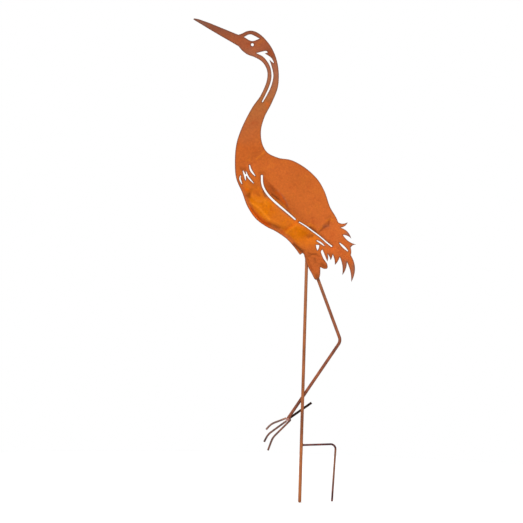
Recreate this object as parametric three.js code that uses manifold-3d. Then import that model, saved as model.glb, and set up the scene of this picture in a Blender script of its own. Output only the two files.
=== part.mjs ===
// Heron garden stake: a pressed sheet steel heron welded to two round rods with a step fork.
// Millimetres, +Z up. The bird looks towards -X and its pressed side faces -Y.
// The origin is on the axis of the main stake, at the surface of the ground it is pushed into.
import * as THREE from 'three';
import { mergeVertices } from 'three/addons/utils/BufferGeometryUtils.js';
import Module from 'manifold-3d';

const wasm = await Module();
wasm.setup();

// Stock sizes
const sheetThickness = 2;
const legRodDiameter = 8;
const wireDiameter = 5;
const hindToeDiameter = 6;
const weldGap = 0.3;
const sheetBack = -(legRodDiameter / 2 + weldGap);
const sheetFront = sheetBack - sheetThickness;
const cutDepth = [-60, 20];
const holeDepth = [-61, 21];

// Main stake, straight and upright
const stakeTop = 530;
const stakePoint = -141;
const pointLength = 3;
const pointFlatDiameter = 5;

// Step fork: the bar that the foot presses on and the second tine
const stepStart = 2.5;
const stepCorner = [86.3, 7.5];
const stepTineEnd = [80.7, -136];
const stepBendRadius = 12;

// Raised leg, in the plane of the picture, with its depth behind the stake
const legTop = [19.6, 0, 443];
const knee = [91.2, 6, 265.3];
const ankle = [-35.6, 9.5, 66.5];
const kneeBendRadius = 20;

// Toes: the front ones lie in the plane of the ankle, the hind one behind it
const frontToeDepth = ankle[1];
const hindToeDepth = ankle[1] + (legRodDiameter + hindToeDiameter) / 2 + weldGap;
const toeBendRadius = 40;
const toes = {
  toe_front_upper: { depth: frontToeDepth, route: [[-39.4, 68], [-77, 52.3], [-89, 38]] },
  toe_front_middle: { depth: frontToeDepth, route: [[-38.8, 60.9], [-84, 26], [-93, 7]] },
  toe_front_lower: { depth: frontToeDepth, route: [[-28.6, 63.8], [-72, 18], [-83, -14]] },
  toe_hind: { depth: hindToeDepth, route: [[-37, 63.5], [23, 108]], diameter: hindToeDiameter },
};

// Outline of the bird, [x, z]. Each stroke is a smooth line through its knots.
const beakUpper = [[-301, 1057.8], [-298.5, 1060.4], [-287, 1058.6], [-260, 1050], [-187, 1022.6]];
const beakLower = [[-301, 1057.8], [-255, 1031.6], [-186, 994]];
const crownAndNape = [
  [-187, 1022.6], [-178, 1026], [-165, 1032.5], [-152, 1033.5], [-137, 1028], [-119, 1013],
  [-102, 991], [-90, 964], [-83.6, 932], [-84.7, 894], [-99, 854], [-116, 818], [-123.5, 785],
];
const backContour = [
  [-119.5, 753], [-106, 731], [-78, 718.3], [-46, 713.5], [-10, 695], [22, 666.5], [40, 637],
  [55, 598], [70, 574.5], [76, 561.5],
];
const throatAndBreast = [
  [-186, 994], [-176, 983], [-162, 973.5], [-143.4, 967.2], [-124.7, 955.7], [-113, 936], [-112.5, 912],
  [-127, 873], [-147, 842.5], [-172, 790], [-184, 750], [-186.5, 705], [-182, 664], [-166, 629],
];
const belly = [
  [-166, 629], [-152, 594.5], [-130.6, 564.7], [-103, 545.3], [-80, 534.6], [-52, 516.5], [-32, 496],
  [-17.4, 477.6],
];
const bellyTab = [[-17.4, 477.6], [-10.5, 481.7], [-7.5, 479]];
const thigh = [
  [-7.5, 479], [-4.3, 468.6], [5.5, 445], [13.2, 431.8], [21, 418.5], [24.5, 416.1], [31.5, 420.5],
  [34.4, 428], [34.5, 448.5],
];
const thighSpur = [
  [34.5, 448.5], [44, 444.3], [52, 446], [51.5, 456], [41, 471.5], [35, 488.5], [38.5, 492],
];

// The fringe of feathers from the thigh up to the back: each entry is a corner, reached by an
// edge that bulges by so many millimetres to the left of its direction.
const fringe = [
  { corner: [51.3, 463], bulge: 0 },
  { corner: [51.6, 481.5], bulge: -1.8 },
  { corner: [59.3, 466.3], bulge: 1.2 },
  { corner: [64, 480.8], bulge: -1 },
  { corner: [70.5, 454.8], bulge: 1.8 },
  { corner: [82, 475.2], bulge: -1.5 },
  { corner: [89.7, 429.8], bulge: 3.5 },
  { corner: [100.3, 463], bulge: -3 },
  { corner: [112.6, 413.4], bulge: 3.5 },
  { corner: [109.5, 480.5], bulge: -10 },
  { corner: [108.6, 499], bulge: -1.5 },
  { corner: [122.5, 507.5], bulge: 2.5 },
  { corner: [88.5, 530.5], bulge: 4.5 },
  { corner: [109.5, 521.6], bulge: 2.5 },
  { corner: [82, 548.5], bulge: -5.5 },
  { corner: [99.3, 562.6], bulge: -3.5 },
  { corner: [76, 561.5], bulge: 3.5 },
];

// Cut-outs of the head and the neck stripe
const eyeCentre = [-151.4, 998.8];
const eyeDiameter = 7.2;
const crestUpper = [[-173, 1017.5], [-158, 1024.5], [-133.5, 1014.5]];
const crestLower = [[-133.5, 1014.5], [-153, 1008], [-173, 1017.5]];
const stripeInner = [
  [-141, 978], [-123, 969], [-106, 946.5], [-101.2, 921], [-103.5, 905], [-108.3, 890.5],
  [-114.8, 875.5], [-123.3, 857.5],
];
const stripeEnd = [[-123.3, 857.5], [-122.8, 855.9], [-121.2, 856.3]];
const stripeOuter = [
  [-121.2, 856.3], [-111.6, 873.8], [-104.6, 888.7], [-99.5, 904.3], [-96.8, 921], [-98.7, 935],
  [-102.3, 947.5], [-108, 963],
];
const stripeBarbSide = [[-108, 963], [-96.5, 954.5], [-103, 967], [-120, 978]];
const stripeBarbTop = [[-120, 978], [-113, 980.5], [-116, 984], [-128, 982], [-141, 978]];

// Cut-outs that follow a centre line, with the width at the middle and its share left at each end
const wingSlots = [
  {
    line: [
      [-118.2, 673], [-117, 655], [-113.5, 643.5], [-104.2, 628.3], [-88.7, 612.3], [-52.3, 582.5],
      [-31.5, 565.5],
    ],
    width: 4.6,
    ends: [1, 0.7],
  },
  {
    line: [
      [-21.7, 559.3], [-12.4, 554.1], [-3.7, 548.9], [11.8, 538.2], [31.7, 524.2], [48.6, 510.4],
      [61.5, 500.8],
    ],
    width: 2.7,
    ends: [0.8, 1.15],
  },
];
const shortSlots = [
  { line: [[23.9, 514.2], [33.4, 509], [42.9, 501.8]], width: 3.6, ends: [0.6, 0.2] },
  { line: [[80.5, 510], [91, 500.5], [102, 490.5]], width: 5, ends: [0.3, 0.3] },
  { line: [[-149.7, 697.7], [-146.2, 685.7], [-134.7, 670.7]], width: 4.4, ends: [0.5, 0.2] },
  { line: [[-171.2, 671], [-172.7, 664], [-167.3, 650]], width: 3.4, ends: [0.4, 0.2] },
];
const crossedNicks = [
  { line: [[-158, 681], [-152.5, 668.5], [-138.5, 653]], width: 3.5, ends: [0.4, 0.2] },
  { line: [[-165.5, 683], [-160.5, 671], [-158.5, 659.5]], width: 4, ends: [0.4, 0.2] },
  { line: [[-161, 671.5], [-154, 673.5]], width: 3, ends: [1, 1] },
];
const dropHole = [[22, 503.5], [30, 503.5], [29.5, 497], [26, 489.5], [23, 496.5]];

// Relief of the pressed body, heights towards the viewer. The body rises from the press edge
// over a flank, and the wing rises on top of it from its own edge above the two long slots.
const bodyHeight = 8;
const bellyFlank = 10;
const neckFlank = 60;
const neckFlankFrom = 605;
const neckFlankTo = 720;
const pressEdge = [
  [-100, 752], [-134, 716], [-166, 690], [-172, 661], [-158, 622], [-146, 596], [-124, 567],
  [-98, 550], [-76, 540], [-50, 522.5], [-32, 503], [-20, 488], [-4, 476], [10, 442], [20, 419],
];
const wingHeight = 9;
const wingFlank = 23;
const wingEdge = [
  [-112, 705], [-110, 672], [-103, 645], [-82, 617], [-50, 592], [-26, 573], [0, 555], [36, 530],
  [70, 500],
];
const wingDome = { at: [-58, 634], radius: 72 };
const softFlanks = [
  { at: [-54, 524], radius: 26, extra: 24 },
  { at: [6, 452], radius: 32, extra: 22 },
];
const slotValleyDepth = 4;
const slotValleyWidth = 8;
const tailCrease = [[76, 600], [60, 584], [43, 561], [26, 538], [14, 518]];
const tailDrop = 3.5;
const tailCreaseWidth = 12;
const backFade = 45;
const rodDent = { at: [-1, 524], radius: 17 };
const thighSlopeFrom = 425;
const thighSlopeTo = 482;

// Mesh density. The grid of the blank is turned so that its rows follow the folds of the body.
const outlineStep = 7;
const cutOutStep = 9;
const reliefStep = 8;
const rodSides = 12;
const wireSides = 8;
const bendStepAngle = THREE.MathUtils.degToRad(15);
const foldAngle = THREE.MathUtils.degToRad(-42);
const blankCentre = new THREE.Vector2(-30, 590);
const gridAlong = [[-620, 140], [-205, 10.5], [230, 0]];
const gridAcross = [[-125, 5], [95, 70], [305, 0]];

// Smooth line through [x, z] knots, as points about one step apart
function smoothLine(knots, step) {
  const curve = new THREE.CatmullRomCurve3(
    knots.map(([x, z]) => new THREE.Vector3(x, 0, z)), false, 'centripetal');
  const count = Math.max(2, Math.round(curve.getLength() / step));
  return curve.getSpacedPoints(count).map((p) => new THREE.Vector2(p.x, p.z));
}

// One edge of a feather: a shallow arc from one corner to the next
function featherEdge(from, to, bulge) {
  const side = to.clone().sub(from).normalize().rotateAround(new THREE.Vector2(), Math.PI / 2);
  const control = from.clone().add(to).multiplyScalar(0.5).addScaledVector(side, 2 * bulge);
  const pieces = Math.max(2, Math.round(from.distanceTo(to) / outlineStep));
  return new THREE.QuadraticBezierCurve(from, control, to).getPoints(pieces);
}

// Joins strokes that meet end to end into one closed ring without doubled points
function closedRing(strokes) {
  const ring = [];
  for (const stroke of strokes) ring.push(...stroke.slice(0, -1));
  return ring;
}

function birdOutline() {
  const fringeEdges = [];
  let from = new THREE.Vector2(...thighSpur.at(-1));
  for (const { corner, bulge } of fringe) {
    const to = new THREE.Vector2(...corner);
    fringeEdges.push(featherEdge(from, to, bulge));
    from = to;
  }
  const back = smoothLine([...crownAndNape, ...backContour], outlineStep).reverse();
  const beak = beakUpper.map(([x, z]) => new THREE.Vector2(x, z)).reverse();
  return closedRing([
    smoothLine(beakLower, outlineStep),
    smoothLine(throatAndBreast, outlineStep),
    smoothLine(belly, outlineStep),
    smoothLine(bellyTab, outlineStep),
    smoothLine(thigh, outlineStep),
    smoothLine(thighSpur, outlineStep),
    ...fringeEdges,
    back,
    beak,
  ]);
}

// A slot of tapering width round a centre line, as a closed ring
function slotRing({ line, width, ends }) {
  const centre = smoothLine(line, cutOutStep);
  const last = centre.length - 1;
  const left = [];
  const right = [];
  centre.forEach((point, i) => {
    const along = i / last;
    const ahead = centre[Math.min(i + 1, last)].clone().sub(centre[Math.max(i - 1, 0)]).normalize();
    const side = new THREE.Vector2(-ahead.y, ahead.x);
    const endShare = along < 0.5 ? ends[0] : ends[1];
    const half = width / 2 * THREE.MathUtils.lerp(endShare, 1, Math.sin(Math.PI * along));
    left.push(point.clone().addScaledVector(side, half));
    right.push(point.clone().addScaledVector(side, -half));
  });
  return [...left, ...right.reverse()];
}

function roundHole([x, z], diameter, sides = 10) {
  const radius = diameter / 2;
  return Array.from({ length: sides }, (_, i) => {
    const turn = 2 * Math.PI * i / sides;
    return new THREE.Vector2(x + radius * Math.cos(turn), z + radius * Math.sin(turn));
  });
}

// A ring in the picture plane, extruded along Y from one depth to another
function plate(ring, fromY, toY) {
  const geometry = new THREE.ExtrudeGeometry(new THREE.Shape(ring), {
    depth: toY - fromY,
    bevelEnabled: false,
    steps: 1,
  });
  geometry.rotateX(Math.PI / 2);
  geometry.translate(0, toY, 0);
  return toSolid(geometry);
}

function toSolid(source) {
  const geometry = source.clone();
  geometry.deleteAttribute('normal');
  geometry.deleteAttribute('uv');
  const merged = mergeVertices(geometry, 1e-4);
  return new wasm.Manifold(new wasm.Mesh({
    numProp: 3,
    vertProperties: new Float32Array(merged.attributes.position.array),
    triVerts: new Uint32Array(merged.index.array),
  }));
}

function toGeometry(solid) {
  const { vertProperties, triVerts } = solid.getMesh();
  const geometry = new THREE.BufferGeometry();
  geometry.setAttribute('position', new THREE.BufferAttribute(new Float32Array(vertProperties), 3));
  geometry.setIndex(Array.from(triVerts));
  geometry.computeVertexNormals();
  return geometry;
}

// Eases from 0 to 1 with a steep foot and a rounded top
function rise(share) {
  return 1 - (1 - THREE.MathUtils.clamp(share, 0, 1)) ** 2;
}

// 1 at a place, falling off to 0 around it
function near(point, { at, radius }) {
  return Math.exp(-((point.distanceTo(new THREE.Vector2(...at)) / radius) ** 2));
}

// Distance from a point to a line of points, positive on the line's left side
function offsetFrom(point, line) {
  let nearest = Infinity;
  let side = 1;
  for (let i = 0; i + 1 < line.length; i += 1) {
    const along = line[i + 1].clone().sub(line[i]);
    const across = point.clone().sub(line[i]);
    const t = THREE.MathUtils.clamp(across.dot(along) / along.lengthSq(), 0, 1);
    across.addScaledVector(along, -t);
    if (across.length() < nearest) {
      nearest = across.length();
      side = along.cross(across) < 0 ? -1 : 1;
    }
  }
  return side * nearest;
}

const pressLine = smoothLine(pressEdge, reliefStep);
const wingLine = smoothLine(wingEdge, reliefStep);
const creaseLine = smoothLine(tailCrease, reliefStep);
const backLine = smoothLine(backContour, reliefStep);
const valleyLines = wingSlots.map(({ line }) => smoothLine(line, reliefStep));

// Height of the relief at a point of the sheet
function reliefAt(x, z) {
  const point = new THREE.Vector2(x, z);
  const inside = offsetFrom(point, pressLine);
  if (inside <= 0) return 0;
  const { smoothstep, lerp } = THREE.MathUtils;
  const neckShare = smoothstep(z, neckFlankFrom, neckFlankTo);
  const extra = softFlanks.reduce((sum, place) => sum + place.extra * near(point, place), 0);
  const flank = lerp(bellyFlank, neckFlank, neckShare) + extra;
  const body = bodyHeight * rise(inside / flank);
  const pastWingEdge = offsetFrom(point, wingLine);
  const wing = wingHeight * near(point, wingDome) * rise(pastWingEdge / wingFlank);
  const toSlot = Math.min(...valleyLines.map((line) => Math.abs(offsetFrom(point, line))));
  const valley = slotValleyDepth * Math.exp(-((toSlot / slotValleyWidth) ** 2));
  const pastCrease = Math.min(pastWingEdge, offsetFrom(point, creaseLine));
  const tail = tailDrop * smoothstep(pastCrease, 0, tailCreaseWidth);
  const backEdge = smoothstep(Math.abs(offsetFrom(point, backLine)), -backFade / 4, backFade);
  const thighSlope = smoothstep(z, thighSlopeFrom, thighSlopeTo);
  const height = (body + wing - valley - tail) * backEdge * thighSlope;
  return Math.max(0, height * (1 - near(point, rodDent)));
}

// Grid lines from runs of [start, spacing]; the last run only gives the end
function gridLines(runs) {
  const lines = [];
  for (let i = 0; i + 1 < runs.length; i += 1) {
    const [start, spacing] = runs[i];
    const end = runs[i + 1][0];
    const count = Math.max(1, Math.round((end - start) / spacing));
    for (let k = 0; k < count; k += 1) lines.push(start + (end - start) * k / count);
  }
  lines.push(runs.at(-1)[0]);
  return lines;
}

// The pressed blank before it is cut out: a closed slab whose two faces follow the relief
function pressedBlank() {
  const along = gridLines(gridAlong);
  const across = gridLines(gridAcross);
  const positions = [];
  const triangles = [];
  for (const face of [sheetFront, sheetBack]) {
    for (const w of across) {
      for (const u of along) {
        const { x, y: z } = new THREE.Vector2(u, w).rotateAround(new THREE.Vector2(), foldAngle)
          .add(blankCentre);
        positions.push(x, face - reliefAt(x, z), z);
      }
    }
  }
  const wide = along.length;
  const layer = wide * across.length;
  const quad = (a, b, c, d) => triangles.push(a, b, c, a, c, d);
  for (let row = 0; row + 1 < across.length; row += 1) {
    for (let column = 0; column + 1 < wide; column += 1) {
      const a = row * wide + column;
      quad(a, a + 1, a + wide + 1, a + wide);
      quad(layer + a, layer + a + wide, layer + a + wide + 1, layer + a + 1);
    }
  }
  const top = layer - wide;
  const rim = [
    ...along.map((_, column) => column),
    ...across.slice(1).map((_, row) => (row + 2) * wide - 1),
    ...along.slice(1).map((_, column) => layer - 2 - column),
    ...across.slice(1, -1).map((_, row) => top - (row + 1) * wide),
  ];
  rim.forEach((a, i) => {
    const b = rim[(i + 1) % rim.length];
    quad(b, a, layer + a, layer + b);
  });
  const geometry = new THREE.BufferGeometry();
  geometry.setAttribute('position', new THREE.Float32BufferAttribute(positions, 3));
  geometry.setIndex(triangles);
  return toSolid(geometry);
}

function heronSheet() {
  const stripe = closedRing([
    smoothLine(stripeInner, cutOutStep),
    smoothLine(stripeEnd, cutOutStep),
    smoothLine(stripeOuter, cutOutStep),
    smoothLine(stripeBarbSide, cutOutStep),
    smoothLine(stripeBarbTop, cutOutStep),
  ]);
  const crest = closedRing([smoothLine(crestUpper, cutOutStep), smoothLine(crestLower, cutOutStep)]);
  const drop = dropHole.map(([x, z]) => new THREE.Vector2(x, z));
  const slotRings = [...wingSlots, ...shortSlots, ...crossedNicks].map(slotRing);
  let blank = plate(birdOutline(), ...cutDepth);
  for (const ring of [roundHole(eyeCentre, eyeDiameter), crest, stripe, drop, ...slotRings]) {
    blank = blank.subtract(plate(ring, ...holeDepth));
  }
  return toGeometry(blank.intersect(pressedBlank()));
}

// A rod's axis: straight runs between corners, each corner rounded to the bend radius.
// Each station of the extrusion is one of these points, so straight runs take one step.
class RodAxis extends THREE.Curve {
  constructor(corners, bendRadius) {
    super();
    this.points = [corners[0].clone()];
    this.tangents = [corners[1].clone().sub(corners[0]).normalize()];
    for (let i = 1; i + 1 < corners.length; i += 1) this.addBend(corners, i, bendRadius);
    this.points.push(corners.at(-1).clone());
    this.tangents.push(corners.at(-1).clone().sub(corners.at(-2)).normalize());
  }

  addBend(corners, i, radius) {
    const inward = corners[i].clone().sub(corners[i - 1]).normalize();
    const outward = corners[i + 1].clone().sub(corners[i]).normalize();
    const turn = inward.angleTo(outward);
    const axis = inward.clone().cross(outward).normalize();
    const start = corners[i].clone().addScaledVector(inward, -radius * Math.tan(turn / 2));
    const centre = start.clone().addScaledVector(axis.clone().cross(inward), radius);
    const steps = Math.max(3, Math.ceil(turn / bendStepAngle));
    for (let k = 0; k <= steps; k += 1) {
      const angle = turn * k / steps;
      const spoke = start.clone().sub(centre).applyAxisAngle(axis, angle);
      this.points.push(centre.clone().add(spoke));
      this.tangents.push(inward.clone().applyAxisAngle(axis, angle));
    }
  }

  get steps() {
    return this.points.length - 1;
  }

  getPointAt(u, target = new THREE.Vector3()) {
    return target.copy(this.points[Math.round(u * this.steps)]);
  }

  getTangentAt(u, target = new THREE.Vector3()) {
    return target.copy(this.tangents[Math.round(u * this.steps)]);
  }
}

function bentRod(corners, bendRadius, diameter, sides) {
  const axis = new RodAxis(corners.map((corner) => new THREE.Vector3(...corner)), bendRadius);
  const section = new THREE.Shape(roundHole([0, 0], diameter, sides));
  return new THREE.ExtrudeGeometry(section, {
    steps: axis.steps,
    bevelEnabled: false,
    extrudePath: axis,
  });
}

// The main stake is turned from its profile: a flat top and a slightly pointed lower end
function mainStake() {
  const radius = legRodDiameter / 2;
  const profile = [
    [0, stakePoint],
    [pointFlatDiameter / 2, stakePoint],
    [radius, stakePoint + pointLength],
    [radius, stakeTop],
    [0, stakeTop],
  ];
  const geometry = new THREE.LatheGeometry(profile.map(([r, z]) => new THREE.Vector2(r, z)), rodSides);
  return geometry.rotateX(Math.PI / 2);
}

function stepFork() {
  const start = [legRodDiameter / 2 + weldGap, 0, stepStart];
  const corner = [stepCorner[0], 0, stepCorner[1]];
  const end = [stepTineEnd[0], 0, stepTineEnd[1]];
  return bentRod([start, corner, end], stepBendRadius, wireDiameter, wireSides);
}

function raisedLeg() {
  return bentRod([legTop, knee, ankle], kneeBendRadius, legRodDiameter, rodSides);
}

function toe({ depth, route, diameter = wireDiameter }) {
  const corners = route.map(([x, z]) => [x, depth, z]);
  return bentRod(corners, toeBendRadius, diameter, wireSides);
}

function rust(color, roughness = 0.85) {
  return new THREE.MeshStandardMaterial({ color, roughness, metalness: 0.15 });
}

function named(name, geometry, material) {
  const mesh = new THREE.Mesh(geometry, material);
  mesh.name = name;
  return mesh;
}

const group = new THREE.Group();
group.add(named('heron_sheet', heronSheet(), rust(0xcc682c)));
group.add(named('main_stake', mainStake(), rust(0xa8643c)));
group.add(named('step_fork', stepFork(), rust(0x6e5048)));
group.add(named('raised_leg', raisedLeg(), rust(0xa0603c)));
for (const [name, sizes] of Object.entries(toes)) {
  group.add(named(name, toe(sizes), rust(name === 'toe_hind' ? 0x2c1a14 : 0x80605a)));
}

export default group;
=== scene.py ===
import math
import bmesh
import bpy
import numpy as np
from mathutils import Matrix, Vector, kdtree, noise


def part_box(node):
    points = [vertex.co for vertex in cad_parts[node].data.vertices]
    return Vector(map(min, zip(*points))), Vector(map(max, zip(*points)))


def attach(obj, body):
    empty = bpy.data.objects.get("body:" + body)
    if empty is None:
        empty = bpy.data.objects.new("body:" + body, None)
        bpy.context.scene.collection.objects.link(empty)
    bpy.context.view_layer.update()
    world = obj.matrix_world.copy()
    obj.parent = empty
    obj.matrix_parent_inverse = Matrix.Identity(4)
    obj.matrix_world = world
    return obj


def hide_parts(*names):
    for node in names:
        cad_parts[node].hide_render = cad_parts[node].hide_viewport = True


# Heron garden stake: a life-size heron cut from sheet steel and pressed in relief, welded to two
# round rods with a step fork and wire toes, and left to rust.
# Sizes are in millimetres, points of the sheet are [x, z], and MM turns them to metres.
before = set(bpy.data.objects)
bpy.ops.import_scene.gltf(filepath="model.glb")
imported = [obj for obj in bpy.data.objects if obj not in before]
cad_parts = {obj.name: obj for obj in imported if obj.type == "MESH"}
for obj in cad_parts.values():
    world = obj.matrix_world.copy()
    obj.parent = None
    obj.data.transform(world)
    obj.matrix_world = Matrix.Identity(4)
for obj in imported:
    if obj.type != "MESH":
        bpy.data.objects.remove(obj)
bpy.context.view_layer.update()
MM = 0.001

# Stock sizes
SHEET_THICKNESS = 2.0
LEG_ROD = 8.0
WIRE = 5.0
HIND_TOE_WIRE = 6.0
WELD_GAP = 0.3
SHEET_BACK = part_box("heron_sheet")[1].y / MM
SHEET_FRONT = SHEET_BACK - SHEET_THICKNESS
DEEPEST_RELIEF = SHEET_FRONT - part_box("heron_sheet")[0].y / MM

# Rods and wires: the corners [x, y, z] of their centre line, the radius of its bends, the diameter
STAKE_TOP = 530.0
STAKE_POINT = -141.0
POINT_LENGTH = 3.0
POINT_FLAT = 5.0
ROUTES = {
    "main_stake": ([[0, 0, STAKE_TOP], [0, 0, STAKE_POINT]], 0, LEG_ROD),
    "step_fork": ([[LEG_ROD / 2 + WELD_GAP, 0, 2.5], [86.3, 0, 7.5], [80.7, 0, -136]], 12, WIRE),
    "raised_leg": ([[19.6, 0, 443], [91.2, 6, 265.3], [-35.6, 9.5, 66.5]], 20, LEG_ROD),
    "toe_front_upper": ([[-39.4, 9.5, 68], [-77, 9.5, 52.3], [-89, 9.5, 38]], 40, WIRE),
    "toe_front_middle": ([[-38.8, 9.5, 60.9], [-84, 9.5, 26], [-93, 9.5, 7]], 40, WIRE),
    "toe_front_lower": ([[-28.6, 9.5, 63.8], [-72, 9.5, 18], [-83, 9.5, -14]], 40, WIRE),
    "toe_hind": ([[-37, 16.8, 63.5], [23, 16.8, 108]], 0, HIND_TOE_WIRE),
}
ROD_SIDES = 32
WIRE_SIDES = 24
BEND_STEP = math.radians(6)
STRAIGHT_STEP = 12.0
CUT_END_ROUNDING = 0.5

# Outline of the bird, in strokes that are each one smooth line through their knots
BEAK_UPPER = [[-301, 1057.8], [-298.5, 1060.4], [-287, 1058.6], [-260, 1050], [-187, 1022.6]]
BEAK_LOWER = [[-301, 1057.8], [-255, 1031.6], [-186, 994]]
CROWN_AND_NAPE = [
    [-187, 1022.6], [-178, 1026], [-165, 1032.5], [-152, 1033.5], [-137, 1028], [-119, 1013],
    [-102, 991], [-90, 964], [-83.6, 932], [-84.7, 894], [-99, 854], [-116, 818], [-123.5, 785],
]
BACK = [
    [-119.5, 753], [-106, 731], [-78, 718.3], [-46, 713.5], [-10, 695], [22, 666.5], [40, 637],
    [55, 598], [70, 574.5], [76, 561.5],
]
THROAT_AND_BREAST = [
    [-186, 994], [-176, 983], [-162, 973.5], [-143.4, 967.2], [-124.7, 955.7], [-113, 936],
    [-112.5, 912], [-127, 873], [-147, 842.5], [-172, 790], [-184, 750], [-186.5, 705],
    [-182, 664], [-166, 629],
]
BELLY = [
    [-166, 629], [-152, 594.5], [-130.6, 564.7], [-103, 545.3], [-80, 534.6], [-52, 516.5],
    [-32, 496], [-17.4, 477.6],
]
BELLY_TAB = [[-17.4, 477.6], [-10.5, 481.7], [-7.5, 479]]
THIGH = [
    [-7.5, 479], [-4.3, 468.6], [5.5, 445], [13.2, 431.8], [21, 418.5], [24.5, 416.1],
    [31.5, 420.5], [34.4, 428], [34.5, 448.5],
]
THIGH_SPUR = [
    [34.5, 448.5], [44, 444.3], [52, 446], [51.5, 456], [41, 471.5], [35, 488.5], [38.5, 492],
]

# Feathers from the thigh up to the back: a corner, and how far the edge that reaches it bulges
# to the left of its direction
FRINGE = (
    ([51.3, 463], 0), ([51.6, 481.5], -1.8), ([59.3, 466.3], 1.2), ([64, 480.8], -1),
    ([70.5, 454.8], 1.8), ([82, 475.2], -1.5), ([89.7, 429.8], 3.5), ([100.3, 463], -3),
    ([112.6, 413.4], 3.5), ([109.5, 480.5], -10), ([108.6, 499], -1.5), ([122.5, 507.5], 2.5),
    ([88.5, 530.5], 4.5), ([109.5, 521.6], 2.5), ([82, 548.5], -5.5), ([99.3, 562.6], -3.5),
    ([76, 561.5], 3.5),
)

# Cut-outs of the head and the neck stripe
EYE = ([-151.4, 998.8], 7.2)
CREST_UPPER = [[-173, 1017.5], [-158, 1024.5], [-133.5, 1014.5]]
CREST_LOWER = [[-133.5, 1014.5], [-153, 1008], [-173, 1017.5]]
STRIPE_INNER = [
    [-141, 978], [-123, 969], [-106, 946.5], [-101.2, 921], [-103.5, 905], [-108.3, 890.5],
    [-114.8, 875.5], [-123.3, 857.5],
]
STRIPE_END = [[-123.3, 857.5], [-122.8, 855.9], [-121.2, 856.3]]
STRIPE_OUTER = [
    [-121.2, 856.3], [-111.6, 873.8], [-104.6, 888.7], [-99.5, 904.3], [-96.8, 921],
    [-98.7, 935], [-102.3, 947.5], [-108, 963],
]
STRIPE_BARB_SIDE = [[-108, 963], [-96.5, 954.5], [-103, 967], [-120, 978]]
STRIPE_BARB_TOP = [[-120, 978], [-113, 980.5], [-116, 984], [-128, 982], [-141, 978]]
DROP_HOLE = [[22, 503.5], [30, 503.5], [29.5, 497], [26, 489.5], [23, 496.5]]

# Slots along a centre line: width at the middle, and the share of it left at each end
WING_SLOTS = (
    ([[-118.2, 673], [-117, 655], [-113.5, 643.5], [-104.2, 628.3], [-88.7, 612.3],
      [-52.3, 582.5], [-31.5, 565.5]], 4.6, (1.0, 0.7)),
    ([[-21.7, 559.3], [-12.4, 554.1], [-3.7, 548.9], [11.8, 538.2], [31.7, 524.2],
      [48.6, 510.4], [61.5, 500.8]], 2.7, (0.8, 1.15)),
)
SHORT_SLOTS = (
    ([[23.9, 514.2], [33.4, 509], [42.9, 501.8]], 3.6, (0.6, 0.2)),
    ([[80.5, 510], [91, 500.5], [102, 490.5]], 5.0, (0.3, 0.3)),
    ([[-149.7, 697.7], [-146.2, 685.7], [-134.7, 670.7]], 4.4, (0.5, 0.2)),
    ([[-171.2, 671], [-172.7, 664], [-167.3, 650]], 3.4, (0.4, 0.2)),
)
# Two of the breast nicks are joined by a short cut between two levels
CROSSED_NICKS = (
    ([[-158, 681], [-152.5, 668.5], [-138.5, 653]], 3.5, (0.4, 0.2)),
    ([[-165.5, 683], [-160.5, 671], [-158.5, 659.5]], 4.0, (0.4, 0.2)),
    671.0,
    674.0,
)
TIP_ROUNDING = 0.6
HOLE_SIDES = 24

# Main relief, heights towards the viewer: the body rises from the press edge over a flank, and
# the wing rises on top of it from its own edge above the two long slots
BODY_HEIGHT = 8.0
BELLY_FLANK = 10.0
NECK_FLANK = 60.0
NECK_FLANK_FROM = 605.0
NECK_FLANK_TO = 720.0
PRESS_EDGE = [
    [-100, 752], [-134, 716], [-166, 690], [-172, 661], [-158, 622], [-146, 596], [-124, 567],
    [-98, 550], [-76, 540], [-50, 522.5], [-32, 503], [-20, 488], [-4, 476], [10, 442], [20, 419],
]
WING_HEIGHT = 9.0
WING_FLANK = 23.0
WING_EDGE = [
    [-112, 705], [-110, 672], [-103, 645], [-82, 617], [-50, 592], [-26, 573], [0, 555], [36, 530],
    [70, 500],
]
WING_DOME = ([-58, 634], 72.0)
SOFT_FLANKS = (([-54, 524], 26.0, 24.0), ([6, 452], 32.0, 22.0))
SLOT_VALLEY_DEPTH = 4.0
SLOT_VALLEY_WIDTH = 8.0
TAIL_CREASE = [[76, 600], [60, 584], [43, 561], [26, 538], [14, 518]]
TAIL_DROP = 3.5
TAIL_CREASE_WIDTH = 12.0
BACK_FADE = 45.0
ROD_DENT = ([-1, 524], 17.0)
THIGH_SLOPE_FROM = 425.0
THIGH_SLOPE_TO = 482.0
FOLDS_FULL_AT = 2.0

# Finer folds and dents that the press left: a line, its height and its half width
FOLDS = (
    ([[-110, 738], [-123, 723], [-136, 713], [-156, 708]], 0.7, 4.0),
    ([[-112, 728], [-130, 711], [-152, 699]], -0.5, 4.0),
    ([[53, 565], [51, 553], [41, 548], [28, 534]], -0.7, 3.2),
    ([[43, 567], [53, 571], [61, 566]], 0.6, 3.2),
    ([[43, 560], [33, 549], [24, 538]], 0.6, 3.5),
    ([[-146, 603], [-125, 593], [-110, 576], [-98, 561]], 1.1, 4.0),
    ([[-140, 618], [-122, 606], [-112, 612]], 0.9, 4.5),
    ([[-128, 626], [-116, 616], [-104, 600]], -0.8, 4.0),
    ([[-29, 549], [-41, 540], [-54, 531]], 0.9, 3.2),
    ([[-40, 552], [-56, 540]], -0.6, 3.5),
    ([[-18, 507], [-10, 500]], 0.8, 3.5),
    ([[4, 481], [18, 479], [31, 475]], -1.0, 3.2),
    ([[-96, 566], [-78, 556], [-60, 547]], 0.7, 4.5),
    ([[-151, 621], [-146, 626]], -1.2, 6.0),
    ([[-166, 691], [-160, 689]], -1.0, 6.0),
    ([[-112, 641], [-108, 634]], -1.0, 6.0),
)
WARP_SIZE = 38.0
WARP_HEIGHT = 0.45
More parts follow.
